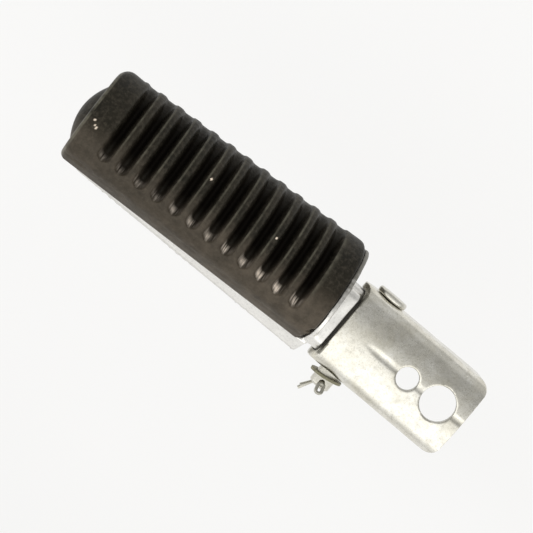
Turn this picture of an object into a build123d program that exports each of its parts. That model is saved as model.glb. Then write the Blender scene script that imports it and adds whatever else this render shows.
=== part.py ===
from build123d import *
import math
import os

# A folding motorcycle foot peg. A pressed channel bracket bolts to the motorcycle's
# frame, a cast arm swings in the channel about a clevis pin, and a ribbed rubber tread
# is stretched over the arm's platform. The pin is kept by a loose washer and a split pin.
#
# Frame, in millimetres: the origin is the centre of the frame bolt's hole, on the outer
# face of the bracket's web. +X runs along the peg to its free end, +Y along the clevis
# pin to its split-pin end, and +Z is the outward normal of the web. The peg is modelled
# folded, with its arm in line with the channel. Unfolding swings the free end to -Z.

# ---- bracket ----
SHEET = 2.8
CHANNEL_HALF_WIDTH = 16.6
CHANNEL_DEPTH = 21.0
WEB_FRONT_X = 43.5
WEB_REAR_X = -11.3
BEND_RADIUS = 4.8
WEB_CROWN_RADIUS = 60.0
BOLT_HOLE_RADIUS = 6.5
LOCATOR_HOLE_RADIUS = 4.1
LOCATOR_X = 13.9
EAR_RADIUS = 11.0
REAR_CORNER_RADIUS = 6.0
REAR_PLAN_RADIUS = 4.5
PRESS_GROOVE_RADIUS = 6.0
PRESS_GROOVE_DEPTH = 0.2
PRESS_GROOVE_END_X = 27.5
PRESS_GROOVE_LEAD = 7.0

# ---- clevis pin, washer and split pin ----
PIN_X = 35.2
PIN_Z = -10.0
PIN_RADIUS = 4.0
PIN_CLEARANCE = 0.1
PIN_END_Y = 23.5
PIN_END_CHAMFER = 0.8
HEAD_RADIUS = 6.0
HEAD_THICKNESS = 2.5
HEAD_ROUND = 0.9
WASHER_OUTER_RADIUS = 6.25
WASHER_BORE_RADIUS = 4.25
WASHER_THICKNESS = 1.1
WASHER_Y = 18.7
WASHER_TILT = 8.0
SPLIT_PIN_Y = 21.3
SPLIT_PIN_RADIUS = 0.95
SPLIT_HOLE_RADIUS = 1.05
SPLIT_SHANK_TOP = 4.9
SPLIT_SHANK_FOOT = -4.7
SPLIT_LEG_RADIUS = 0.66
SPLIT_LEG_BEND = 1.1
SPLIT_KNEE_DROP = 0.9
SPLIT_LEG_ROOT = 1.6
UPPER_LEG_OFFSET = 0.35
UPPER_LEG_TIP = (4.3, 8.0, -6.2)
LOWER_LEG_OFFSET = -0.3
LOWER_LEG_TIP = (4.6, 6.4, -3.8)
EYE_HALF_WIDTH = 1.1
EYE_LENGTH = 3.6
EYE_BEND = 0.9
EYE_ROOT = 0.15
EYE_LIFT = 0.3
EYE_TILT = 20.0
EYE_TURN = 16.0

# ---- arm's tongue, inside the channel ----
TONGUE_GAP = 0.3
TONGUE_FOOT = -9.6
LEDGE_X = 9.4
LEDGE_TOP = 9.2
LEDGE_HALF_WIDTH = 11.9
LEDGE_ROUND = 2.5
NECK_END = 20.0

# ---- tread's own frame, turned from the pin's: twist about X, then rise, then sweep ----
TWIST = 30.0
RISE = 5.0
SWEEP = 2.6
TREAD_ORIGIN_Y = -7.3
TREAD_ORIGIN_Z = -12.1

# ---- tread rubber, along its own X from the pin ----
RUBBER_START = 17.0
RUBBER_END = 123.6
INNER_HALF_WIDTH = 21.5
OUTER_HALF_WIDTH = 19.8
INNER_CROWN = 14.0
OUTER_CROWN = 12.9
LIP_DROP = 5.5
END_ROUND = 2.5
GROOVE_COUNT = 12
GROOVE_PITCH = 7.46
FIRST_GROOVE_X = 28.6
GROOVE_WIDTH = 3.9
GROOVE_DEPTH = 4.6
GROOVE_START_ANGLE = -84.0
GROOVE_END_ANGLE = 60.5
NOSE_HALF_WIDTH = 12.4
NOSE_HALF_HEIGHT = 6.6
NOSE_RISE = 3.5
NOSE_Y = 3.0
NOSE_Z = 2.2
NOSE_ROOT = 1.0

# ---- arm's platform, inside the rubber ----
CORE_END = 119.0
CORE_HALF_WIDTH = 15.5
CORE_NECK_HALF_WIDTH = 12.0
CORE_CROWN = 7.0
CORE_UNDERCUT_Z = -2.4
CORE_RIM = 0.5
CORE_LAP = 1.0
RUBBER_FIT = 0.05

# ---- arm's collar and the tapered beam under the rubber ----
COLLAR_START = 14.9
COLLAR_THICKNESS = 2.0
COLLAR_INSET = 1.3
COLLAR_ROUND = 0.8
CORE_ROOT = 1.6
BEAM_INSET = 0.4
BEAM_TIP_X = 120.0
BEAM_PLATE = 1.45
BEAM_DEEP_SIDE = 11.4
BEAM_SHALLOW_SIDE = 1.8
BEAM_TIP_ROUND = 6.0
RAIL_START = 20.0
RAIL_END = 56.0
RAIL_DEPTH = 3.4
RAIL_WIDTH = 6.0
RAIL_INSET = 0.9
POCKET_START = 30.0
POCKET_END = 98.0
POCKET_HALF_WIDTH = 6.0
POCKET_OFFSET = 8.0
POCKET_CORNER = 4.0
POCKET_FLOOR = -7.3

pin_place = Pos(PIN_X, 0, PIN_Z)
tread_place = (
    Pos(PIN_X, TREAD_ORIGIN_Y, TREAD_ORIGIN_Z)
    * Rot(0, 0, SWEEP)
    * Rot(0, -RISE, 0)
    * Rot(TWIST, 0, 0)
)


def cross_section(x, face):
    """Stand a face drawn as (y, z) at distance x along the X axis."""
    return Plane.YZ.offset(x) * face


def bar_along_y(radius, start_y, end_y):
    """A round bar on the pin's axis between two stations of Y."""
    bar = Cylinder(radius, end_y - start_y)
    return pin_place * Pos(0, (start_y + end_y) / 2, 0) * Rot(90, 0, 0) * bar


def channel_face(inset, foot_z):
    """The channel's outline, moved in by inset: a crowned web with two round bends."""
    bend_y = CHANNEL_HALF_WIDTH - BEND_RADIUS
    crown_angle = math.asin(bend_y / (WEB_CROWN_RADIUS - BEND_RADIUS))
    bend_z = (WEB_CROWN_RADIUS - BEND_RADIUS) * math.cos(crown_angle) - WEB_CROWN_RADIUS
    crown = WEB_CROWN_RADIUS - inset
    bend = BEND_RADIUS - inset
    side = CHANNEL_HALF_WIDTH - inset
    middle = (crown_angle + math.pi / 2) / 2
    tangent = (crown * math.sin(crown_angle), crown * math.cos(crown_angle) - WEB_CROWN_RADIUS)
    on_bend = (bend_y + bend * math.sin(middle), bend_z + bend * math.cos(middle))
    outline = [
        ThreePointArc((-tangent[0], tangent[1]), (0, -inset), tangent),
        ThreePointArc(tangent, on_bend, (side, bend_z)),
        Polyline((side, bend_z), (side, foot_z), (-side, foot_z), (-side, bend_z)),
        ThreePointArc((-side, bend_z), (-on_bend[0], on_bend[1]), (-tangent[0], tangent[1])),
    ]
    return make_face(outline)


def bracket_side():
    """Side view of the channel: square above, rounded behind, with ears round the pin."""
    corners = [
        (WEB_REAR_X, CHANNEL_DEPTH),
        (WEB_FRONT_X, CHANNEL_DEPTH),
        (WEB_FRONT_X, PIN_Z),
        (PIN_X, PIN_Z),
        (PIN_X, -CHANNEL_DEPTH),
        (WEB_REAR_X, -CHANNEL_DEPTH),
    ]
    side = make_face(Polyline(*corners, close=True))
    rear_low = side.vertices().group_by(Axis.Y)[0].sort_by(Axis.X)[0]
    side = fillet(rear_low, REAR_CORNER_RADIUS)
    return side + Pos(PIN_X, PIN_Z) * Circle(EAR_RADIUS)


def make_bracket():
    """Pressed steel channel with a frame bolt hole, a locating hole and two pin holes."""
    length = PIN_X + EAR_RADIUS - WEB_REAR_X
    outer = extrude(cross_section(WEB_REAR_X, channel_face(0, -CHANNEL_DEPTH)), length)
    inner = extrude(cross_section(WEB_REAR_X, channel_face(SHEET, -2 * CHANNEL_DEPTH)), length)
    channel = outer - inner
    channel &= extrude(Plane.XZ * bracket_side(), 2 * CHANNEL_HALF_WIDTH, both=True)

    # Seen from above, the two rear corners are rounded.
    plan = Pos(WEB_REAR_X + length / 2, 0) * Rectangle(length, 2 * CHANNEL_HALF_WIDTH)
    plan = fillet(plan.vertices().group_by(Axis.X)[0], REAR_PLAN_RADIUS)
    channel &= extrude(plan, 2 * CHANNEL_DEPTH, both=True)

    for x, radius in ((0, BOLT_HOLE_RADIUS), (LOCATOR_X, LOCATOR_HOLE_RADIUS)):
        channel -= Pos(x, 0, 0) * Cylinder(radius, 4 * SHEET)
    reach = 2 * CHANNEL_HALF_WIDTH
    channel -= bar_along_y(PIN_RADIUS + PIN_CLEARANCE, -reach, reach)

    # A shallow crease pressed along the middle of the web, fading out over the pin.
    run = PRESS_GROOVE_END_X - WEB_REAR_X
    groove = Pos(WEB_REAR_X + run / 2, 0, 0) * Rot(0, 90, 0) * Cylinder(PRESS_GROOVE_RADIUS, run)
    lead = Cone(PRESS_GROOVE_RADIUS, PRESS_GROOVE_RADIUS - PRESS_GROOVE_DEPTH, PRESS_GROOVE_LEAD)
    groove += Pos(PRESS_GROOVE_END_X + PRESS_GROOVE_LEAD / 2, 0, 0) * Rot(0, 90, 0) * lead
    return channel - Pos(0, 0, PRESS_GROOVE_RADIUS - PRESS_GROOVE_DEPTH) * groove


def make_clevis_pin():
    """Headed pin, cross-drilled near its end for the split pin."""
    shank = bar_along_y(PIN_RADIUS, -CHANNEL_HALF_WIDTH, PIN_END_Y)
    shank = chamfer(shank.edges().group_by(Axis.Y)[-1], PIN_END_CHAMFER)
    head = bar_along_y(HEAD_RADIUS, -CHANNEL_HALF_WIDTH - HEAD_THICKNESS, -CHANNEL_HALF_WIDTH)
    rims = head.edges().filter_by(GeomType.CIRCLE)
    head = fillet(rims, HEAD_ROUND)
    hole = Pos(PIN_X, SPLIT_PIN_Y, PIN_Z) * Cylinder(SPLIT_HOLE_RADIUS, 3 * PIN_RADIUS)
    return shank + head - hole


def make_washer():
    """Flat washer that sits loose and slightly cocked on the pin."""
    ring = Cylinder(WASHER_OUTER_RADIUS, WASHER_THICKNESS)
    ring -= Cylinder(WASHER_BORE_RADIUS, 2 * WASHER_THICKNESS)
    return Pos(PIN_X, WASHER_Y, PIN_Z) * Rot(0, 0, WASHER_TILT) * Rot(90, 0, 0) * ring


def wire(points, radius, bend):
    """A round wire through the points, with one bend radius at its corners."""
    path = FilletPolyline(*points, radius=bend)
    profile = Plane(origin=path @ 0, z_dir=path % 0) * Circle(radius)
    return sweep(profile, path=path)


def make_split_pin():
    """Split pin: a shank through the clevis pin, a flattened eye and two bent legs."""
    centre = Pos(PIN_X, SPLIT_PIN_Y, PIN_Z)
    length = SPLIT_SHANK_TOP - SPLIT_SHANK_FOOT
    body = Pos(0, 0, SPLIT_SHANK_FOOT + length / 2) * Cylinder(SPLIT_PIN_RADIUS, length)
    body += Pos(0, 0, SPLIT_SHANK_TOP) * Sphere(SPLIT_PIN_RADIUS)
    body += Pos(0, 0, SPLIT_SHANK_FOOT) * Sphere(SPLIT_PIN_RADIUS)

    loop = [(EYE_ROOT, 0, 0), (EYE_HALF_WIDTH, 0, 0), (EYE_HALF_WIDTH, EYE_LENGTH, 0)]
    loop += [(-x, y, z) for x, y, z in reversed(loop)]
    eye_place = Pos(0, 0, SPLIT_SHANK_TOP + EYE_LIFT) * Rot(0, 0, EYE_TURN) * Rot(EYE_TILT, 0, 0)
    body += eye_place * wire(loop, SPLIT_LEG_RADIUS, EYE_BEND)

    knee = SPLIT_SHANK_FOOT - SPLIT_KNEE_DROP
    root = SPLIT_SHANK_FOOT + SPLIT_LEG_ROOT
    for offset, tip in ((UPPER_LEG_OFFSET, UPPER_LEG_TIP), (LOWER_LEG_OFFSET, LOWER_LEG_TIP)):
        points = [(offset, 0, root), (offset, 0, knee), tip]
        body += wire(points, SPLIT_LEG_RADIUS, SPLIT_LEG_BEND)
    return centre * body


def tread_face(half_width, crown, foot_z):
    """Half an ellipse over straight sides, closed along a level foot."""
    outline = [
        EllipticalCenterArc((0, 0), half_width, crown, start_angle=0, arc_size=180),
        Polyline((-half_width, 0), (-half_width, foot_z), (half_width, foot_z), (half_width, 0)),
    ]
    return make_face(outline)


def core_face(growth):
    """The platform's mushroom section: a crowned head over a narrower neck."""
    half_width = CORE_HALF_WIDTH + growth
    neck = CORE_NECK_HALF_WIDTH + growth
    undercut = CORE_UNDERCUT_Z - CORE_RIM - growth
    crown = CORE_CROWN - CORE_UNDERCUT_Z + growth
    foot = -LIP_DROP - CORE_LAP
    outline = [
        EllipticalCenterArc((0, CORE_UNDERCUT_Z), half_width, crown, start_angle=0, arc_size=180),
        Polyline(
            (-half_width, CORE_UNDERCUT_Z),
            (-half_width, undercut),
            (-neck, undercut),
            (-neck, foot),
            (neck, foot),
            (neck, undercut),
            (half_width, undercut),
            (half_width, CORE_UNDERCUT_Z),
        ),
    ]
    return make_face(outline)


def groove_floor(x):
    """Start, middle and end of the floor arc of a tread groove at station x."""
    share = (x - RUBBER_START) / (RUBBER_END - RUBBER_START)
    half_width = INNER_HALF_WIDTH + share * (OUTER_HALF_WIDTH - INNER_HALF_WIDTH)
    crown = INNER_CROWN + share * (OUTER_CROWN - INNER_CROWN)
    ends = []
    for angle in (GROOVE_START_ANGLE, GROOVE_END_ANGLE):
        turn = math.radians(angle)
        ends.append((half_width * math.sin(turn), crown * math.cos(turn)))
    return ends[0], (0, crown - GROOVE_DEPTH), ends[1]


def make_nose():
    """Shallow oval dome on the rubber's outer end, rooted a little way into it."""
    sphere_radius = (NOSE_HALF_WIDTH ** 2 + NOSE_RISE ** 2) / (2 * NOSE_RISE)
    half = NOSE_RISE / 2
    shoulder = (half, math.sqrt(sphere_radius ** 2 - (sphere_radius - half) ** 2))
    outline = [
        ThreePointArc((NOSE_RISE, 0), shoulder, (0, NOSE_HALF_WIDTH)),
        Polyline((0, NOSE_HALF_WIDTH), (-NOSE_ROOT, NOSE_HALF_WIDTH), (-NOSE_ROOT, 0), (NOSE_RISE, 0)),
    ]
    dome = revolve(make_face(outline), Axis.X)
    oval = scale(dome, by=(1, 1, NOSE_HALF_HEIGHT / NOSE_HALF_WIDTH))
    return Pos(RUBBER_END, NOSE_Y, NOSE_Z) * oval


def make_tread_rubber():
    """Ribbed rubber tread: a crowned closed-end sleeve, open below for the arm."""
    inner = cross_section(RUBBER_START, tread_face(INNER_HALF_WIDTH, INNER_CROWN, -LIP_DROP))
    outer = cross_section(RUBBER_END, tread_face(OUTER_HALF_WIDTH, OUTER_CROWN, -LIP_DROP))
    pad = loft([inner, outer], ruled=True)
    for group in (0, -1):
        ends = pad.edges().filter_by(GeomType.ELLIPSE).group_by(Axis.X)[group]
        pad = fillet(ends, END_ROUND)

    for index in range(GROOVE_COUNT):
        x = FIRST_GROOVE_X + index * GROOVE_PITCH
        start, middle, end = groove_floor(x)
        above = 2 * INNER_CROWN
        outside = -2 * INNER_HALF_WIDTH
        outline = [
            ThreePointArc(start, middle, end),
            Polyline(end, (end[0], above), (outside, above), (outside, start[1]), start),
        ]
        pad -= extrude(cross_section(x - GROOVE_WIDTH / 2, make_face(outline)), GROOVE_WIDTH)

    pad += make_nose()
    cavity_length = CORE_END + RUBBER_FIT - RUBBER_START
    pad -= extrude(cross_section(RUBBER_START, core_face(RUBBER_FIT)), cavity_length)
    return tread_place * pad


def beam_face(half_width, deep, shallow):
    """Beam section: level top under the rubber, deeper on the +Y side."""
    top = -LIP_DROP - RUBBER_FIT
    outline = Polyline(
        (-half_width, top),
        (half_width, top),
        (half_width, top - deep),
        (-half_width, top - shallow),
        close=True,
    )
    return make_face(outline)


def make_tongue():
    """The part of the arm inside the channel, shaped so that the web is both its stops."""
    # Half the channel's inside, above the pin's height, less a small gap all round.
    fill = Pos(0, -PIN_Z) * channel_face(SHEET + TONGUE_GAP, PIN_Z)
    standing = cross_section(0, fill)
    lying = Rot(0, -90, 0) * standing
    front = extrude(standing, NECK_END)
    # Turned about the pin, the tail clears the web all the way to its flat end.
    tail = revolve(standing, Axis.Y, -90)
    heel = extrude(lying, TONGUE_FOOT)

    half_width = CHANNEL_HALF_WIDTH - SHEET - TONGUE_GAP
    sole = Pos(NECK_END / 2, 0, TONGUE_FOOT / 2) * Box(NECK_END, 2 * half_width, -TONGUE_FOOT)
    ledge_length = NECK_END - LEDGE_X
    ledge = Pos(LEDGE_X + ledge_length / 2, 0, LEDGE_TOP / 2)
    ledge *= Box(ledge_length, 2 * LEDGE_HALF_WIDTH, LEDGE_TOP)
    shoulders = ledge.faces().sort_by(Axis.Z)[-1].edges().filter_by(Axis.X)
    ledge = fillet(shoulders, LEDGE_ROUND)
    tongue = pin_place * (front + tail + heel + sole + ledge)
    reach = 2 * CHANNEL_HALF_WIDTH
    tongue -= bar_along_y(PIN_RADIUS + PIN_CLEARANCE, -reach, reach)
    # The neck ends inside the collar's thickness.
    beyond = Pos(COLLAR_START + COLLAR_THICKNESS / 2 + NECK_END / 2, 0, 0)
    return tongue - tread_place * beyond * Box(NECK_END, 2 * reach, 2 * reach)


def beam_half_width(x):
    """Half the beam's width at station x; it narrows with the rubber."""
    share = (x - RUBBER_START) / (RUBBER_END - RUBBER_START)
    return INNER_HALF_WIDTH + share * (OUTER_HALF_WIDTH - INNER_HALF_WIDTH) - BEAM_INSET


def beam_foot(x):
    """Height of the beam's deep lower edge at station x."""
    share = (x - COLLAR_START) / (BEAM_TIP_X - COLLAR_START)
    return -LIP_DROP - BEAM_DEEP_SIDE + share * (BEAM_DEEP_SIDE - BEAM_PLATE)


def make_beam():
    """Tray plate under the rubber, on a pocketed wedge that deepens to its hinge and +Y."""
    root = COLLAR_START + COLLAR_THICKNESS / 2
    root_y = beam_half_width(root)
    tip_y = beam_half_width(BEAM_TIP_X)
    planform = Polyline(
        (root, -root_y), (BEAM_TIP_X, -tip_y), (BEAM_TIP_X, tip_y), (root, root_y), close=True
    )
    planform = make_face(planform)
    planform = fillet(planform.vertices().group_by(Axis.X)[-1], BEAM_TIP_ROUND)
    seat = Pos(0, 0, -LIP_DROP - RUBBER_FIT)
    plate = seat * extrude(planform, -BEAM_PLATE)

    # The wedge's sloping foot passes through its two root corners and its deep tip corner.
    deep_root = Vector(root, root_y, beam_foot(root))
    shallow_root = Vector(root, -root_y, -LIP_DROP - BEAM_SHALLOW_SIDE)
    deep_tip = Vector(BEAM_TIP_X, tip_y, beam_foot(BEAM_TIP_X))
    normal = (deep_tip - deep_root).cross(shallow_root - deep_root)
    slope = Plane(origin=deep_root, z_dir=normal if normal.Z > 0 else -normal)
    size = 4 * BEAM_TIP_X
    wedge = seat * extrude(planform, -2 * BEAM_DEEP_SIDE)
    wedge -= slope * Pos(0, 0, -size / 2) * Box(size, size, size)

    # A rail stands below the deep edge, from near the collar to where it fades out.
    rail_y = beam_half_width(RAIL_END) - RAIL_INSET
    rail = Polyline(
        (RAIL_START, beam_foot(RAIL_START) - RAIL_DEPTH),
        (RAIL_END, beam_foot(RAIL_END)),
        (RAIL_END, -LIP_DROP - BEAM_PLATE / 2),
        (RAIL_START, -LIP_DROP - BEAM_PLATE / 2),
        close=True,
    )
    rail = Pos(0, rail_y, 0) * extrude(Plane.XZ * make_face(rail), RAIL_WIDTH)
    beam = plate + wedge + rail

    length = POCKET_END - POCKET_START
    for side in (-1, 1):
        mouth = Pos(POCKET_START + length / 2, side * POCKET_OFFSET)
        mouth *= RectangleRounded(length, 2 * POCKET_HALF_WIDTH, POCKET_CORNER)
        beam -= Pos(0, 0, POCKET_FLOOR) * extrude(mouth, -2 * BEAM_DEEP_SIDE)
    return beam


def make_collar():
    """Flange that closes the rubber's inner end and carries the beam's full depth."""
    half = beam_half_width(RUBBER_START)
    lap = -LIP_DROP - COLLAR_INSET
    crown = tread_face(half - COLLAR_INSET, INNER_CROWN - COLLAR_INSET, lap)
    root = beam_face(half, BEAM_DEEP_SIDE, BEAM_SHALLOW_SIDE)
    plates = []
    for face in (crown, root):
        plate = extrude(cross_section(COLLAR_START, face), COLLAR_THICKNESS)
        plates.append(fillet(plate.faces().sort_by(Axis.X)[0].edges(), COLLAR_ROUND))
    return plates[0] + plates[1]


def make_peg_arm():
    """Cast arm: tongue, collar, tapered beam and the platform inside the rubber."""
    core_start = COLLAR_START + CORE_ROOT
    core = extrude(cross_section(core_start, core_face(0)), CORE_END - core_start)
    arm = make_tongue()
    for feature in (make_collar(), make_beam(), core):
        arm += tread_place * feature
    return arm


nodes = {
    "channel_bracket": make_bracket,
    "peg_arm": make_peg_arm,
    "tread_rubber": make_tread_rubber,
    "clevis_pin": make_clevis_pin,
    "flat_washer": make_washer,
    "split_pin": make_split_pin,
}

os.makedirs("parts", exist_ok=True)
for name, make in nodes.items():
    solid = make()
    export_step(solid, f"parts/{name}.step")
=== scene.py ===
import math

import bpy
import numpy as np
from mathutils import Matrix, Vector, noise


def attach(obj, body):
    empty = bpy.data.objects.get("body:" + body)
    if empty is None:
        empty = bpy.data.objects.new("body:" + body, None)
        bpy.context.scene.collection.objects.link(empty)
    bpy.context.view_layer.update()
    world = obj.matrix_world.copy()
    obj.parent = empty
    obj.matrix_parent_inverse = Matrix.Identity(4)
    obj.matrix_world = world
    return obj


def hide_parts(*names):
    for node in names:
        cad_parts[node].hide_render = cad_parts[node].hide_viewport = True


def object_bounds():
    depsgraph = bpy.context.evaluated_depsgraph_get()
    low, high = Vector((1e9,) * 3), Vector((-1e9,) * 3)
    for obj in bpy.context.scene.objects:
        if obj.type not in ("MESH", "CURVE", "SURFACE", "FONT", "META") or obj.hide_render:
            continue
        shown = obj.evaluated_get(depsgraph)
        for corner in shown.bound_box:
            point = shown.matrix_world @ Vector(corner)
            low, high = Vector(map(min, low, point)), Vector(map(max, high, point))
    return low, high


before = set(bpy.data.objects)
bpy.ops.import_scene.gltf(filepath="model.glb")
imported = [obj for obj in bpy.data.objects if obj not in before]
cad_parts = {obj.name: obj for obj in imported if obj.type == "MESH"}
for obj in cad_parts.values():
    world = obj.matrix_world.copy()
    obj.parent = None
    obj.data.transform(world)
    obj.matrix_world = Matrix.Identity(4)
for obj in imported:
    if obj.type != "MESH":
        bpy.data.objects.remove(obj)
cad_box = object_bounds()

MM = 0.001

# ---- the tread's own frame: twisted about X, then raised, then swept aside ----
PIN = Vector((35.2, 0, -10)) * MM
TREAD_ORIGIN = Vector((35.2, -7.3, -12.1)) * MM
TWIST, RISE, SWEEP = math.radians(30), math.radians(5), math.radians(2.6)
TREAD = (
    Matrix.Translation(TREAD_ORIGIN)
    @ Matrix.Rotation(SWEEP, 4, "Z")
    @ Matrix.Rotation(-RISE, 4, "Y")
    @ Matrix.Rotation(TWIST, 4, "X")
)
TREAD_INVERSE = TREAD.inverted()

# ---- rubber, millimetres in the tread's frame; angles in degrees from the top of the crown ----
RUBBER_START, RUBBER_END = 17.05, 123.6
INNER_HALF_WIDTH, OUTER_HALF_WIDTH = 21.5, 19.8
INNER_CROWN, OUTER_CROWN = 14.0, 12.9
CROWN_SEGMENTS = 164

LIP_DROP = 5.5
LIP_HEIGHTS = (-5.5, -5.35, -4.9, -4.0, -3.0, -2.0, -1.0)
LIP_ROUND, LIP_ROUND_HEIGHT = 0.35, 0.6

# Grooves: GROOVE_FADE is where one starts to run out towards the -Y side. At the +Y side it ends
# in a scoop, whose floor rises over SCOOP_SPAN and whose outline is rounded over ROUND_SPAN.
GROOVE_COUNT, GROOVE_PITCH, FIRST_GROOVE = 12, 7.46, 28.6
GROOVE_DEPTH = 4.5
GROOVE_START, GROOVE_FADE, GROOVE_END = -85.0, -15.0, 60.0
SCOOP_SPAN, ROUND_SPAN = 13.0, 9.0
NARROWEST = 0.4

# Groove profile: distance from its middle line, and depth as a share of the whole. The edge
# towards the hinge is crisp, the one towards the free end is a soft shoulder.
CRISP_SIDE = (
    (2.95, 0.0), (2.72, 0.01), (2.52, 0.04), (2.36, 0.10), (2.22, 0.19), (2.08, 0.30),
    (1.95, 0.42), (1.80, 0.55), (1.62, 0.68), (1.38, 0.80), (1.05, 0.90), (0.62, 0.97),
)
SOFT_SIDE = (
    (3.30, 0.0), (3.02, 0.015), (2.76, 0.05), (2.52, 0.10), (2.30, 0.17), (2.08, 0.27),
    (1.88, 0.38), (1.68, 0.51), (1.46, 0.65), (1.20, 0.78), (0.90, 0.89), (0.50, 0.97),
)

# Steps along the tread: from each end, over the plain end blocks, and on the lands between
# grooves. The inner block's steps stop GROOVE_MARGIN before the first groove's middle line.
INNER_STEPS = (0.0, 0.05, 0.15, 0.35, 0.65, 1.0, 1.45, 1.95, 2.5, 3.1, 3.8)
INNER_BLOCK_START, INNER_BLOCK_STEP = 4.4, 0.6
LAND_STEPS = (3.62, 3.92, 4.22)
OUTER_BLOCK_STEP, OUTER_BLOCK_END = 0.5, 4.6
OUTER_STEPS = (4.4, 3.8, 3.2, 2.6, 2.1, 1.7, 1.3, 0.95, 0.65, 0.4, 0.2, 0.06, 0.0)
GROOVE_MARGIN = 3.6

# Rounding of the two ends: radius on top, on the -Y side and on the +Y side.
INNER_END_ROUND, OUTER_END_ROUND = (1.1, 3.0, 1.4), (1.7, 4.4, 2.8)
ROUND_GROWS_FROM, ROUND_GROWS_OVER = 25, 45

# A low shoulder on the outer block, beside the last groove.
SHOULDER_START, SHOULDER_RISE, SHOULDER_FADE, SHOULDER_DEPTH = 113.6, 1.2, 5.0, 0.35

# The torn inner corner on the +Y side: how far up it reaches, its depth, how ragged it is and how
# far along the tread it fades out, then a deeper notch. ARC_PER_DEGREE is the surface's length for
# each degree near the lip.
TEAR_REACH, TEAR_DEPTH, TEAR_JAG, TEAR_LENGTH = 11.5, 1.9, 1.3, 7.0
NOTCH_AT, NOTCH_WIDTH, NOTCH_DEPTH = 9.6, 0.9, 1.5
ARC_PER_DEGREE = 0.26

# The closed outer end bulges in a shallow nose, sunk a little behind the rim.
NOSE_HALF_WIDTH, NOSE_HALF_HEIGHT, NOSE_RISE, NOSE_Y, NOSE_Z = 12.3, 6.5, 3.4, 3.0, 2.2
NOSE_SINK, NOSE_RINGS, FOOT_POINTS = 0.1, 22, 24

# The cavity for the arm's platform.
CAVITY_END, CAVITY_SEGMENTS = 119.05, 40
CAVITY_HALF_WIDTH, CAVITY_NECK, CAVITY_CROWN, CAVITY_UNDERCUT = 15.55, 12.05, 7.05, -2.4
CAVITY_LEDGE = 0.55

# Bright specks on the rubber: x, y and radius.
SPECKS = (
    (120.2, 8.6, 0.38), (119.4, 10.0, 0.36), (118.4, 10.4, 0.42), (77.0, 0.8, 0.42), (47.0, 3.9, 0.42),
)

# ---- arm, millimetres: the collar's band and the deep side in the tread's frame ----
COLLAR_BAND = (14.7, 17.1)
DEEP_SIDE = 11.4
LEDGE_FRONT = 44.9

# ---- bracket, millimetres ----
WEB_EDGE_X = 42.9
WEB_EDGE_HALF_WIDTH, WEB_EDGE_Z = 13.5, (-3.4, -0.7)
BOLT_HOLE_RIM, LOCATOR_X, LOCATOR_RIM, RIM_TOP = 6.9, 13.9, 4.5, -0.45
CHANNEL_INSIDE_HALF_WIDTH, CHANNEL_INSIDE_Z = 13.9, -2.4

# ---- colours ----
BLACK_RUBBER, BROWN_RUBBER = (0.0085, 0.0078, 0.0056), (0.0200, 0.0168, 0.0118)
GREY_FLECK = (0.058, 0.050, 0.038)
DUST = (0.104, 0.084, 0.063)
# Groove floors: dirt and painted shade.
GROOVE_DIRT_AND_SHADE = (0.0030, 0.0022, 0.0016)
# Worn edges, with a painted highlight.
WORN_EDGE_AND_HIGHLIGHT = (0.165, 0.155, 0.118)
# A painted glint in the scoops.
PAINTED_GLINT = (0.95, 0.84, 0.72)
BRIGHT_SPECK = (0.80, 0.68, 0.55)
# Grime and painted shade on the metal pieces.
METAL_GRIME_AND_SHADE = (0.050, 0.044, 0.028)
FLOOR_DARK, FLOOR_LIGHT = (0.22, 0.22, 0.22), (0.24, 0.24, 0.24)
FLOOR_GLOW, FLOOR_GLOW_STRENGTH = (1.0, 0.995, 0.985, 1), 0.68

# ---- studio, metres unless said otherwise ----
FLOOR_HALF, FLOOR_GAP = 40.0, 0.004
# The surroundings' brightness by direction, from -Y at 0 to +Y at 1.
STUDIO_SHADES = (
    (0.0, 0.34), (0.18, 0.36), (0.28, 0.32), (0.335, 0.19), (0.40, 0.18), (0.46, 0.38), (0.53, 0.50),
    (0.57, 0.60), (0.61, 0.93), (0.74, 1.0), (0.82, 0.72), (1.0, 0.42),
)
STUDIO_WARMTH, STUDIO_STRENGTH = 0.985, 1.75
CAMERA_PLACE = (0.100, -0.0406, 0.490)
CAMERA_FORWARD, CAMERA_RIGHT = (-0.0465, 0.0857, -0.9953), (-0.7653, -0.6434, -0.0196)
SENSOR_WIDTH_MM, LENS_MM = 36, 95.6


def clamp(value):
    return min(max(value, 0.0), 1.0)


def ramp(value, start, span):
    """0 up to a start, 1 beyond the start plus a span, straight in between."""
    return clamp((value - start) / span)


# ------------------------------------------------------------------ mesh helpers
def smooth_shaded(mesh):
    for polygon in mesh.polygons:
        polygon.use_smooth = True


def new_piece(name, vertices, faces, body, slot_name, *nodes):
    """A smooth-shaded mesh piece on a body, standing for some CAD nodes."""
    mesh = bpy.data.meshes.new(name)
    mesh.from_pydata(vertices, [], faces)
    mesh.validate()
    piece = bpy.data.objects.new(name, mesh)
    bpy.context.collection.objects.link(piece)
    smooth_shaded(mesh)
    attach(piece, body)
    if nodes:
        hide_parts(*nodes)
    return piece


def apply_modifiers(piece):
    """Turns a piece's modifiers into plain mesh."""
    graph = bpy.context.evaluated_depsgraph_get()
    mesh = bpy.data.meshes.new_from_object(piece.evaluated_get(graph))
    piece.modifiers.clear()
    piece.data = mesh


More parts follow.
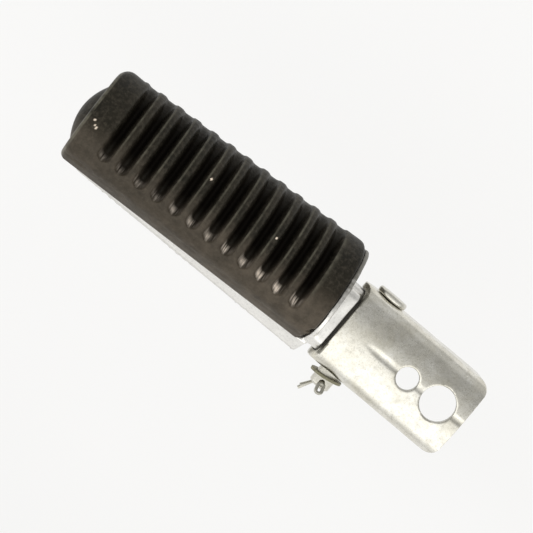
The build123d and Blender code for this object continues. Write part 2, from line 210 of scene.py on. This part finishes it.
def refined(node, name, voxel, rounds, body, dents):
    """A finer body of a CAD node's shape: sharp edges worn round, faces slightly uneven.

    The voxel and the depth of the dents are in millimetres, the dents' scale in waves per metre.
    """
    piece = bpy.data.objects.new(name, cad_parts[node].data.copy())
    bpy.context.collection.objects.link(piece)
    remesh = piece.modifiers.new("remesh", "REMESH")
    remesh.mode = "VOXEL"
    remesh.voxel_size = voxel * MM
    remesh.use_smooth_shade = True
    smooth = piece.modifiers.new("smooth", "SMOOTH")
    smooth.factor = 0.5
    smooth.iterations = rounds
    apply_modifiers(piece)
    mesh = piece.data
    mesh.materials.clear()
    smooth_shaded(mesh)
    depth, scale = dents
    normals = [v.normal.copy() for v in mesh.vertices]
    for vertex, normal in zip(mesh.vertices, normals):
        # Nearly always negative, which keeps the dented surface inside the CAD shape.
        dent = noise.noise(vertex.co * scale) - 0.6
        vertex.co += normal * (dent * depth * MM)
    mesh.update()
    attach(piece, body)
    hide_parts(node)
    return piece


def store(piece, name, values):
    """Keeps one number for each vertex, as an attribute that a material reads."""
    attribute = piece.data.attributes.new(name, "FLOAT", "POINT")
    attribute.data.foreach_set("value", np.array(values, dtype=np.float32))


# ------------------------------------------------------------------ rubber tread
def taper(x, start, end):
    """A value that changes evenly along the tread."""
    return start + (x - RUBBER_START) / (RUBBER_END - RUBBER_START) * (end - start)


def end_inset(distance, radius):
    """How far an end's rounding has drawn the surface in, at a distance from that end."""
    if distance >= radius:
        return 0.0
    return radius - math.sqrt(max(radius ** 2 - (radius - distance) ** 2, 0))


def outline_parameters():
    """Section points from the -Y lip's foot over the crown to the +Y lip's foot.

    Each is ("lip", side, height) or ("crown", 0, angle).
    """
    lip = [("lip", -1, z) for z in LIP_HEIGHTS]
    crown = [("crown", 0, -90 + 180 * i / CROWN_SEGMENTS) for i in range(CROWN_SEGMENTS + 1)]
    other = [("lip", 1, z) for z in reversed(LIP_HEIGHTS)]
    return lip + crown + other


def groove_share(angle):
    """Depth and width shares of a groove at an angle over the crown."""
    if angle <= GROOVE_START or angle >= GROOVE_END:
        return 0.0, NARROWEST
    if angle < 0:
        return 1 - max(0.0, (GROOVE_FADE - angle) / (GROOVE_FADE - GROOVE_START)) ** 1.3, 1.0
    into = max(0.0, angle - (GROOVE_END - SCOOP_SPAN)) / SCOOP_SPAN
    depth = math.sqrt(1 - into ** 2.4)
    near = max(0.0, angle - (GROOVE_END - ROUND_SPAN)) / ROUND_SPAN
    width = max(NARROWEST, math.sqrt(1 - near ** 2))
    return depth, width


def end_radius(radii, parameter):
    """An end's rounding radius: small over the crown, larger towards either side."""
    top, left, right = radii
    kind, side, value = parameter
    angle = 90 * side if kind == "lip" else value
    share = ramp(abs(angle), ROUND_GROWS_FROM, ROUND_GROWS_OVER)
    share = share * share * (3 - 2 * share)
    return top + share * ((left if angle < 0 else right) - top)


def stations():
    """(x, groove middle or None, offset, depth share) along the tread, inner end first."""
    rows = [(RUBBER_START + distance, None, 0, 0) for distance in INNER_STEPS]
    x = RUBBER_START + INNER_BLOCK_START
    while x < FIRST_GROOVE - GROOVE_MARGIN:
        rows.append((x, None, 0, 0))
        x += INNER_BLOCK_STEP
    for index in range(GROOVE_COUNT):
        middle = FIRST_GROOVE + index * GROOVE_PITCH
        for offset, share in CRISP_SIDE:
            rows.append((middle - offset, middle, -offset, share))
        rows.append((middle, middle, 0.0, 1.0))
        for offset, share in reversed(SOFT_SIDE):
            rows.append((middle + offset, middle, offset, share))
        if index < GROOVE_COUNT - 1:
            for step in LAND_STEPS:
                rows.append((middle + step, None, 0, 0))
    x = rows[-1][0] + OUTER_BLOCK_STEP
    while x < RUBBER_END - OUTER_BLOCK_END:
        rows.append((x, None, 0, 0))
        x += OUTER_BLOCK_STEP
    return rows + [(RUBBER_END - distance, None, 0, 0) for distance in OUTER_STEPS]


def tear(parameter, x):
    """How far the torn inner corner on the +Y side has lost its edge, in millimetres."""
    kind, side, value = parameter
    if kind == "lip" and side < 0:
        return 0.0
    # Way along the surface, up from the +Y lip's foot.
    along = value + LIP_DROP if kind == "lip" else LIP_DROP + (90 - value) * ARC_PER_DEGREE
    if along > TEAR_REACH:
        return 0.0
    coarse = noise.noise(Vector((along * 1.1, 3.7, 0.2)))
    fine = noise.noise(Vector((along * 2.9, 9.1, 4.2)))
    notch = NOTCH_DEPTH * math.exp(-((along - NOTCH_AT) / NOTCH_WIDTH) ** 2)
    lost = TEAR_DEPTH * (1 - along / TEAR_REACH) + TEAR_JAG * (coarse + 0.6 * fine) + notch
    fade = max(0.0, 1 - (x - RUBBER_START) / TEAR_LENGTH)
    return max(lost, 0.0) * fade


def shoulder(x):
    """How far the shoulder beside the last groove draws the surface in."""
    step = (x - SHOULDER_START) / SHOULDER_RISE
    if step <= 0:
        return 0.0
    return SHOULDER_DEPTH * min(step, 1.0) ** 2 * math.exp(-((x - SHOULDER_START) / SHOULDER_FADE) ** 2)


def uneven(x, y, z):
    """How far the rubber's slightly lumpy surface is drawn in."""
    place = Vector((x * 0.09, y * 0.11, z * 0.11))
    return 0.16 * (noise.noise(place) + 0.75) + 0.05 * (noise.noise(place * 7.3) + 0.6)


def outer_point(x, middle, offset, share, parameter):
    """A point of the outer surface, with its edge wear and painted highlight, its dirt and painted shade
    in a groove and its painted glint.
    """
    kind, side, value = parameter
    half = taper(x, INNER_HALF_WIDTH, OUTER_HALF_WIDTH)
    crown = taper(x, INNER_CROWN, OUTER_CROWN)
    inset = end_inset(x - RUBBER_START, end_radius(INNER_END_ROUND, parameter))
    inset += end_inset(RUBBER_END - x, end_radius(OUTER_END_ROUND, parameter))
    at_rim = abs(x - RUBBER_END + 0.55) < 0.5
    # The outer end's rim gets a painted highlight along with the edge wear.
    edge, groove_shade_share, glint_share = (0.6 if at_rim else 0.0), 0.0, 0.0
    if kind == "lip":
        foot = LIP_ROUND * max(0.0, 1 - (value + LIP_DROP) / LIP_ROUND_HEIGHT) ** 2
        return x, side * (half - inset - foot), value, edge, groove_shade_share, glint_share
    angle = math.radians(value)
    y, z = half * math.sin(angle), crown * math.cos(angle)
    normal_y, normal_z = math.sin(angle) / half, math.cos(angle) / crown
    size = math.hypot(normal_y, normal_z)
    normal_y, normal_z = normal_y / size, normal_z / size
    depth = inset
    if middle is not None:
        reach, wide = groove_share(value)
        depth += GROOVE_DEPTH * share * reach
        x = middle + offset * wide
        # Worn edges with a painted highlight where the surface starts to drop, most on the crisp side.
        edge = reach * math.exp(-((share - 0.02) / 0.04) ** 2) * (0.5 if offset < 0 else 0.06)
        # Deep in a groove: dirt and painted shade.
        groove_shade_share = ramp(share * reach, 0.10, 0.82)
        # A painted glint in the scoops, mostly on the groove's middle and soft side.
        glint_share = min(groove_shade_share * 1.8, 1.0) * (1.0 if offset > -0.7 else 0.2)
        ending = ramp(value, 28, 20)
        edge *= 1 - ending
        groove_shade_share *= 1 - 0.45 * ending
    depth += shoulder(x) + uneven(x, y, z)
    return x, y - normal_y * depth, z - normal_z * depth, edge, groove_shade_share, glint_share


class RubberMesh:
    """The tread's vertices and faces, with the marks that its material reads at each vertex."""

    def __init__(self):
        self.vertices = []
        self.faces = []
        self.marks = {"wear_and_highlight": [], "dust": [], "deep": [], "painted_glint": [], "speck": []}

    def add(self, x, y, z, edge=0.0, groove_shade_share=0.0, glint_share=0.0):
        """A vertex, with its edge wear and painted highlight, its dirt and painted shade in a groove and
        its painted glint.
        """
        self.vertices.append(TREAD @ (Vector((x, y, z)) * MM))
        near_hinge = max(1 - taper(x, 0.0, 1.0), 0.0)
        aside = ramp(y, 7.0, 8.0)
        # The painted glint shows only high in the scoops, brightest near the hinge.
        scoop = ramp(y, 13.0, 1.8) * glint_share
        near_speck = min(math.hypot(x - sx, y - sy) / size for sx, sy, size in SPECKS)
        self.marks["wear_and_highlight"].append(edge)
        self.marks["deep"].append(groove_shade_share)
        self.marks["dust"].append(aside * (0.55 + 0.45 * near_hinge ** 2) * (1 - 0.6 * groove_shade_share))
        self.marks["painted_glint"].append(scoop * min(0.18 + 1.25 * near_hinge ** 1.2, 1.0))
        self.marks["speck"].append(1.0 if near_speck < 1 and z > 0 else 0.0)
        return len(self.vertices) - 1

    def place(self, vertex):
        """A vertex's place in the tread's frame, in millimetres."""
        return TREAD_INVERSE @ self.vertices[vertex] / MM


def outer_sleeve(mesh, rows):
    """The outer surface, one row of vertices for each station, from lip to lip."""
    parameters = outline_parameters()
    outer = []
    for x, middle, offset, share in rows:
        row = []
        for parameter in parameters:
            px, y, z, edge, groove_shade_share, glint_share = outer_point(x, middle, offset, share, parameter)
            row.append(mesh.add(px + tear(parameter, x), y, z, edge, groove_shade_share, glint_share))
        outer.append(row)
    for a, b in zip(outer, outer[1:]):
        for j in range(len(a) - 1):
            mesh.faces.append((a[j], b[j], b[j + 1], a[j + 1]))
    return outer


def cavity_section():
    """The cavity's section: a mushroom, open below between the lips' feet."""
    ledge = CAVITY_UNDERCUT - CAVITY_LEDGE
    section = [(-CAVITY_NECK, -LIP_DROP), (-CAVITY_NECK, ledge), (-CAVITY_HALF_WIDTH, ledge)]
    for i in range(CAVITY_SEGMENTS + 1):
        angle = math.pi * (1 - i / CAVITY_SEGMENTS)
        rise = (CAVITY_CROWN - CAVITY_UNDERCUT) * math.sin(angle)
        section.append((CAVITY_HALF_WIDTH * math.cos(angle), CAVITY_UNDERCUT + rise))
    section += [(CAVITY_HALF_WIDTH, ledge), (CAVITY_NECK, ledge), (CAVITY_NECK, -LIP_DROP)]
    return section


def cavity(mesh, rows, outer):
    """The cavity's walls, the lips' feet and the solid block beyond them. Returns the mouth."""
    section = cavity_section()
    hollow = [[mesh.add(x, y, z) for y, z in section] for x, *_ in rows if x <= CAVITY_END]
    closed = len(hollow) - 1
    for a, b in zip(hollow, hollow[1:]):
        for k in range(len(section) - 1):
            mesh.faces.append((a[k], a[k + 1], b[k + 1], b[k]))
    for i in range(closed):
        mesh.faces.append((outer[i][0], hollow[i][0], hollow[i + 1][0], outer[i + 1][0]))
        mesh.faces.append((outer[i][-1], outer[i + 1][-1], hollow[i + 1][-1], hollow[i][-1]))
    mesh.faces.append(tuple(reversed(hollow[-1])))
    last, beyond = outer[closed], outer[closed + 1]
    mesh.faces.append((last[0], hollow[-1][0], hollow[-1][-1], last[-1], beyond[-1], beyond[0]))
    for a, b in zip(outer[closed + 1:], outer[closed + 2:]):
        mesh.faces.append((a[0], a[-1], b[-1], b[0]))
    return hollow[0]


def inner_ring(mesh, first, mouth):
    """The inner end's ring of triangles, between the outline and the cavity's mouth."""
    low, high = 0, 0
    low_end, high_end = len(first) - 1, len(mouth) - 1
    while low < low_end or high < high_end:
        outline_is_behind = (low + 1) / low_end <= (high + 1) / high_end
        if high == high_end or (low < low_end and outline_is_behind):
            mesh.faces.append((first[low], first[low + 1], mouth[high]))
            low += 1
        else:
            mesh.faces.append((first[low], mouth[high + 1], mouth[high]))
            high += 1


def nose_ring(mesh, loop, shrink):
    """A ring drawn in towards the nose's middle, raised where it lies on the nose."""
    middle = Vector((RUBBER_END, NOSE_Y, NOSE_Z))
    ring = []
    for point in loop:
        spot = middle.lerp(point, shrink)
        across = (spot.y - NOSE_Y) / NOSE_HALF_WIDTH
        along = (spot.z - NOSE_Z) / NOSE_HALF_HEIGHT
        bump = max(0.0, 1 - math.hypot(across, along) ** 2) * NOSE_RISE
        ring.append(mesh.add(RUBBER_END - NOSE_SINK + bump, spot.y, spot.z))
    return ring


def outer_end(mesh, rim):
    """The closed outer end, of rings that close on the nose's middle."""
    first, last = mesh.place(rim[0]), mesh.place(rim[-1])
    foot = [mesh.add(*last.lerp(first, i / FOOT_POINTS)) for i in range(1, FOOT_POINTS)]
    mesh.faces.append((rim[0], *reversed(foot), rim[-1]))
    loop = [mesh.place(vertex) for vertex in rim + foot]
    rings = [rim + foot]
    rings += [nose_ring(mesh, loop, 1 - i / NOSE_RINGS) for i in range(1, NOSE_RINGS)]
    for a, b in zip(rings, rings[1:]):
        for j in range(len(a)):
            k = (j + 1) % len(a)
            mesh.faces.append((a[j], b[j], b[k], a[k]))
    mesh.faces.append(tuple(rings[-1]))


def make_rubber():
    """The ribbed sleeve, closed at its outer end, with its marks."""
    mesh = RubberMesh()
    rows = stations()
    outer = outer_sleeve(mesh, rows)
    mouth = cavity(mesh, rows, outer)
    inner_ring(mesh, outer[0], mouth)
    outer_end(mesh, outer[-1])
    name = "tread_rubber_worn"
    rubber = new_piece(name, mesh.vertices, mesh.faces, "arm", "tread_rubber", "tread_rubber")
    for mark, values in mesh.marks.items():
        store(rubber, mark, values)
    return rubber


# ------------------------------------------------------------------ materials
class Shader:
    """A node tree, with short calls for the nodes that these materials use.

    A noise takes its scale (waves per metre), its detail and its roughness. A span takes a value
    from one range to another. A bump's distance is in millimetres.
    """

    def __init__(self, name):
        self.material = bpy.data.materials.new(name)
        self.material.use_nodes = True
        self.nodes = self.material.node_tree.nodes
        self.links = self.material.node_tree.links
        self.surface = self.nodes["Principled BSDF"]
        self.place = self.nodes.new("ShaderNodeTexCoord").outputs["Object"]

    def stretched(self, x, y, z, turn=(0, 0, 0)):
        """Coordinates turned into a frame of their own, then scaled along its axes."""
        mapping = self.nodes.new("ShaderNodeMapping")
        mapping.vector_type = "TEXTURE"
        mapping.inputs["Scale"].default_value = (1 / x, 1 / y, 1 / z)
        mapping.inputs["Rotation"].default_value = turn
        self.links.new(self.place, mapping.inputs["Vector"])
        return mapping.outputs["Vector"]

    def noise(self, scale, detail=4.0, rough=0.55, place=None, twist=0.0):
        node = self.nodes.new("ShaderNodeTexNoise")
        node.inputs["Scale"].default_value = scale
        node.inputs["Detail"].default_value = detail
        node.inputs["Roughness"].default_value = rough
        node.inputs["Distortion"].default_value = twist
        self.links.new(place or self.place, node.inputs["Vector"])
        return node.outputs["Fac"]

    def span(self, value, low, high, out_low=0.0, out_high=1.0):
        node = self.nodes.new("ShaderNodeMapRange")
        node.inputs["From Min"].default_value = low
        node.inputs["From Max"].default_value = high
        node.inputs["To Min"].default_value = out_low
        node.inputs["To Max"].default_value = out_high
        self.links.new(value, node.inputs["Value"])
        return node.outputs["Result"]

    def attribute(self, name):
        node = self.nodes.new("ShaderNodeAttribute")
        node.attribute_name = name
        return node.outputs["Fac"]

    def math(self, kind, a, b):
        node = self.nodes.new("ShaderNodeMath")
        node.operation = kind
        for socket, value in zip(node.inputs, (a, b)):
            if isinstance(value, (int, float)):
                socket.default_value = value
            else:
                self.links.new(value, socket)
        return node.outputs["Value"]

    def mix(self, share, a, b):
        node = self.nodes.new("ShaderNodeMix")
        node.data_type = "RGBA"
        self.links.new(share, node.inputs["Factor"])
        colour_inputs = [s for s in node.inputs if s.type == "RGBA"]
        for socket, value in zip(colour_inputs, (a, b)):
            if isinstance(value, tuple):
                socket.default_value = (*value, 1)
            else:
                self.links.new(value, socket)
        return [s for s in node.outputs if s.type == "RGBA"][0]

    def bump(self, height, distance, strength=1.0, under=None):
        node = self.nodes.new("ShaderNodeBump")
        node.inputs["Strength"].default_value = strength
        node.inputs["Distance"].default_value = distance * MM
        self.links.new(height, node.inputs["Height"])
        if under is not None:
            self.links.new(under, node.inputs["Normal"])
        return node.outputs["Normal"]

    def finish(self, colour, roughness, normal, metallic=0.0, specular=0.5):
        self.links.new(colour, self.surface.inputs["Base Color"])
        self.links.new(roughness, self.surface.inputs["Roughness"])
        self.links.new(normal, self.surface.inputs["Normal"])
        self.surface.inputs["Metallic"].default_value = metallic
        self.surface.inputs["Specular IOR Level"].default_value = specular
        return self.material


def rubber_material():
    """Brown-black rubber with flecks, dust, dirt and painted shade in the grooves, worn edges with a
    painted highlight, painted glints in the scoops and a few bright specks.
    """
    s = Shader("worn rubber")
    deep, painted_glint = s.attribute("deep"), s.attribute("painted_glint")
    broad = s.noise(60, 5, 0.6)
    colour = s.mix(s.span(broad, 0.35, 0.68), BLACK_RUBBER, BROWN_RUBBER)
    flecks = s.span(s.noise(620, 6, 0.8), 0.47, 0.62)
    colour = s.mix(s.math("MULTIPLY", flecks, 0.5), colour, GREY_FLECK)
    dusty = s.math("MULTIPLY", s.attribute("dust"), s.span(s.noise(190, 6, 0.75), 0.30, 0.68, 0.30, 1.0))
    colour = s.mix(dusty, colour, DUST)
    # Grooves darkened towards their floor: dirt and painted shade.
    colour = s.mix(deep, colour, GROOVE_DIRT_AND_SHADE)
    # Worn edges and a painted highlight on the ribs' crisp edges and the outer end's rim.
    worn_and_lit = s.math("MULTIPLY", s.attribute("wear_and_highlight"), s.span(s.noise(260, 5, 0.65), 0.35, 0.62, 0.15, 0.9))
    colour = s.mix(worn_and_lit, colour, WORN_EDGE_AND_HIGHLIGHT)
    # Fine lines that run with the grooves, seen only in the scoops' painted glints.
    across_tread = s.stretched(1500, 70, 70, (TWIST, -RISE, SWEEP))
    lines = s.span(s.noise(1.0, 3, 0.6, across_tread), 0.38, 0.58)
    colour = s.mix(s.math("MULTIPLY", painted_glint, lines), colour, PAINTED_GLINT)
    colour = s.mix(s.attribute("speck"), colour, BRIGHT_SPECK)
    rough = s.span(s.noise(240, 5, 0.65), 0.2, 0.8, 0.32, 0.52)
    normal = s.bump(lines, 0.03, 0.4)
    normal = s.bump(s.noise(1100, 5, 0.75), 0.07, 0.9, normal)
    # Less specular deep in the grooves, as part of the painted shade.
    s.links.new(s.span(deep, 0.0, 1.0, 0.16, 0.05), s.surface.inputs["Specular IOR Level"])
    s.surface.inputs["Specular Tint"].default_value = (1.0, 0.96, 0.86, 1)
    return s.finish(colour, rough, normal, 0.0, 0.2)


def metal_material(name, light, dark, rough, grain, brushed=None):
    """Mottled, stained and speckled metal, darkened and dulled where its piece has grime and painted
    shade.

    The grain is in waves per metre. Brushed metal also has streaks, scaled along each axis.
    """
    s = Shader(name)
    mottle = s.span(s.noise(95, 6, 0.65, twist=0.4), 0.30, 0.72)
    colour = s.mix(mottle, light, dark)
    dull = tuple(0.72 * c for c in dark)
    stain = s.span(s.noise(28, 4, 0.55, twist=0.8), 0.56, 0.72, 0.0, 0.55)
    colour = s.mix(stain, colour, dull)
    speckle = s.span(s.noise(0.55 * grain, 3, 0.75), 0.50, 0.66, 0.0, 0.5)
    colour = s.mix(speckle, colour, dull)
    # Grime and painted shade: darker and less metallic.
    grime_and_shade = s.attribute("grime_and_shade")
    colour = s.mix(grime_and_shade, colour, METAL_GRIME_AND_SHADE)
    roughness = s.span(s.noise(170, 6, 0.7), 0.25, 0.75, *rough)
    normal = s.bump(s.noise(grain, 4, 0.7), 0.02, 0.6)
    normal = s.bump(s.noise(0.22 * grain, 3, 0.6), 0.03, 0.5, normal)
    if brushed:
        normal = s.bump(s.noise(1.0, 3, 0.6, s.stretched(*brushed)), 0.01, 0.6, normal)
    s.links.new(s.span(grime_and_shade, 0.0, 1.0, 1.0, 0.2), s.surface.inputs["Metallic"])
    return s.finish(colour, roughness, normal, 1.0, 0.5)


# ------------------------------------------------------------------ grime and painted shade on the metal pieces
def store_grime_and_shade(piece, share):
    """Stores how dark each point is made, for grime and painted shade, from its place and its normal, as
    an attribute.
    """
    values = [clamp(share(v.co / MM, v.normal)) for v in piece.data.vertices]
    store(piece, "grime_and_shade", values)


def arm_painted_shade(place, normal):
    """Painted shade on the collar beside the rubber, on the tongue inside the channel, on downward faces
    and along the lower edges.
    """
    # The tongue, inside the channel, is painted in shade.
    if place.x < LEDGE_FRONT:
        return 0.88
    x, y, z = TREAD_INVERSE @ (place * MM) / MM
    ragged = noise.noise(place * 0.8) * 0.5
    # Painted shade on the collar's rim beside the rubber.
    rim = 1.0 if COLLAR_BAND[0] < x < COLLAR_BAND[1] else 0.0
    rim *= clamp(1.05 - (y + 3.0) / 14.0 + ragged) * 0.85
    # Painted shade on faces that turn downwards.
    under = ramp(-normal.z, -0.15, 0.35) * 0.6
    # The lower edge rises from the collar to the free end.
    edge_z = -LIP_DROP - DEEP_SIDE * (1 - (x - COLLAR_BAND[0]) / (RUBBER_END - COLLAR_BAND[0]))
    # A painted shadow line along the lower edge.
    low = 0.16 if z < edge_z + 1.6 else 0.0
    return max(rim, under, low)


def bracket_darkening(place, normal):
    """Darker on the web's front edge; painted shade in the holes and inside the channel."""
    in_front = place.x > WEB_EDGE_X and abs(place.y) < WEB_EDGE_HALF_WIDTH
    front = 0.75 if in_front and WEB_EDGE_Z[0] < place.z < WEB_EDGE_Z[1] else 0.0
    in_bolt_hole = math.hypot(place.x, place.y) < BOLT_HOLE_RIM
    in_locator = math.hypot(place.x - LOCATOR_X, place.y) < LOCATOR_RIM
    # The holes' walls and the inside of the channel get painted shade.
    wall = 0.45 if (in_bolt_hole or in_locator) and place.z < RIM_TOP else 0.0
    is_inside = place.z < CHANNEL_INSIDE_Z and abs(place.y) < CHANNEL_INSIDE_HALF_WIDTH
    inside = 0.35 if is_inside else 0.0
    return max(front, wall, inside) + 0.2 * noise.noise(place * 0.5)


# ------------------------------------------------------------------ pieces
rubber = make_rubber()
rubber.data.materials.append(rubber_material())

bracket = refined(
    "channel_bracket",
    "channel_bracket_worn",
    voxel=0.34,
    rounds=5,
    body="bracket",
    dents=(0.10, 110),
)
store_grime_and_shade(bracket, bracket_darkening)
zinc = metal_material(
    "zinc plated steel", light=(0.84, 0.825, 0.77), dark=(0.63, 0.60, 0.51), rough=(0.19, 0.34), grain=2400
)
bracket.data.materials.append(zinc)

arm = refined(
    "peg_arm",
    "peg_arm_cast",
    voxel=0.49,
    rounds=4,
    body="arm",
    dents=(0.10, 140),
)
store_grime_and_shade(arm, arm_painted_shade)
alloy = metal_material(
    "cast aluminium",
    light=(0.91, 0.895, 0.86),
    dark=(0.78, 0.765, 0.73),
    rough=(0.30, 0.46),
    grain=1900,
    brushed=(30, 1500, 1500),
)
arm.data.materials.append(alloy)

pin = refined(
    "clevis_pin",
    "clevis_pin_worn",
    voxel=0.22,
    rounds=3,
    body="pin",
    dents=(0.05, 260),
)
pin_steel = metal_material(
    "pin steel", light=(0.78, 0.76, 0.70), dark=(0.55, 0.53, 0.46), rough=(0.20, 0.38), grain=2600
)
pin.data.materials.append(pin_steel)

washer = refined(
    "flat_washer",
    "flat_washer_worn",
    voxel=0.14,
    rounds=3,
    body="washer",
    dents=(0.04, 300),
)
# The washer's dark olive colours stand for the shade it lies in beside the flange: painted shade.
washer_steel_shaded = metal_material(
    "washer steel with painted shade", light=(0.36, 0.34, 0.25), dark=(0.19, 0.18, 0.12), rough=(0.34, 0.55), grain=2600
)
washer.data.materials.append(washer_steel_shaded)

wire = refined(
    "split_pin",
    "split_pin_worn",
    voxel=0.11,
    rounds=3,
    body="pin",
    dents=(0.03, 420),
)
wire_steel = metal_material(
    "wire steel", light=(0.60, 0.58, 0.52), dark=(0.32, 0.31, 0.26), rough=(0.24, 0.42), grain=3200
)
wire.data.materials.append(wire_steel)


# ------------------------------------------------------------------ floor, light and camera
def make_floor(centre):
    """A wide pale floor below the peg, low enough to clear it when it is swung out."""
    level = PIN.z - (cad_box[1].x - PIN.x) - FLOOR_GAP
    corners = [(-1, -1), (1, -1), (1, 1), (-1, 1)]
    vertices = [(centre.x + FLOOR_HALF * a, centre.y + FLOOR_HALF * b, level) for a, b in corners]
    mesh = bpy.data.meshes.new("floor")
    mesh.from_pydata(vertices, [], [(0, 1, 2, 3)])
    floor = bpy.data.objects.new("floor", mesh)
    bpy.context.collection.objects.link(floor)
    s = Shader("pale floor")
    s.finish(
        s.mix(s.noise(4, 2, 0.5), FLOOR_DARK, FLOOR_LIGHT),
        s.span(s.noise(6, 2, 0.5), 0.0, 1.0, 0.85, 0.9),
        s.bump(s.noise(40, 2, 0.5), 0.001),
        metallic=0.0,
        specular=0.2,
    )
    s.surface.inputs["Emission Color"].default_value = FLOOR_GLOW
    s.surface.inputs["Emission Strength"].default_value = FLOOR_GLOW_STRENGTH
    mesh.materials.append(s.material)


def make_surroundings():
    """A soft studio all round, whose brightness changes only with the direction along Y."""
    world = bpy.data.worlds.new("studio")
    bpy.context.scene.world = world
    world.use_nodes = True
    tree = world.node_tree
    background = tree.nodes["Background"]
    direction = tree.nodes.new("ShaderNodeTexCoord")
    split = tree.nodes.new("ShaderNodeSeparateXYZ")
    tree.links.new(direction.outputs["Generated"], split.inputs["Vector"])
    level = tree.nodes.new("ShaderNodeMapRange")
    level.inputs["From Min"].default_value = -1
    level.inputs["From Max"].default_value = 1
    tree.links.new(split.outputs["Y"], level.inputs["Value"])
    shades = tree.nodes.new("ShaderNodeValToRGB")
    tree.links.new(level.outputs["Result"], shades.inputs["Fac"])
    elements = shades.color_ramp.elements
    while len(elements) < len(STUDIO_SHADES):
        elements.new(0.5)
    for element, (spot, value) in zip(elements, STUDIO_SHADES):
        element.position = spot
        element.color = (value, value, value * STUDIO_WARMTH, 1)
    tree.links.new(shades.outputs["Color"], background.inputs["Color"])
    background.inputs["Strength"].default_value = STUDIO_STRENGTH


def area_light(name, target, offset, size, energy, colour):
    """A soft square lamp aimed at a target, which leaves no glint of its own."""
    data = bpy.data.lights.new(name, "AREA")
    data.shape = "SQUARE"
    data.size = size
    data.energy = energy
    data.color = colour
    lamp = bpy.data.objects.new(name, data)
    bpy.context.collection.objects.link(lamp)
    lamp.location = target + Vector(offset)
    lamp.rotation_mode = "QUATERNION"
    lamp.rotation_quaternion = (-Vector(offset)).to_track_quat("-Z", "Y")
    lamp.visible_glossy = False


def make_camera():
    """The camera looks down on the web, with the tread running up to the left."""
    data = bpy.data.cameras.new("camera")
    data.sensor_width = SENSOR_WIDTH_MM
    data.lens = LENS_MM
    camera = bpy.data.objects.new("camera", data)
    bpy.context.collection.objects.link(camera)
    forward = Vector(CAMERA_FORWARD).normalized()
    right = Vector(CAMERA_RIGHT)
    right = (right - forward * right.dot(forward)).normalized()
    up = right.cross(forward)
    camera.matrix_world = Matrix(
        (
            (right.x, up.x, -forward.x, CAMERA_PLACE[0]),
            (right.y, up.y, -forward.y, CAMERA_PLACE[1]),
            (right.z, up.z, -forward.z, CAMERA_PLACE[2]),
            (0, 0, 0, 1),
        )
    )
    bpy.context.scene.camera = camera


object_middle = (cad_box[0] + cad_box[1]) / 2
make_floor(object_middle)
make_surroundings()
area_light("key", object_middle, (0.75, -0.10, 0.65), size=0.25, energy=1.6, colour=(0.95, 0.98, 1.0))
area_light("side", object_middle, (-0.30, -0.75, 0.45), size=0.22, energy=2.0, colour=(1.0, 0.985, 0.96))
make_camera()
bpy.context.scene.view_settings.view_transform = "Standard"
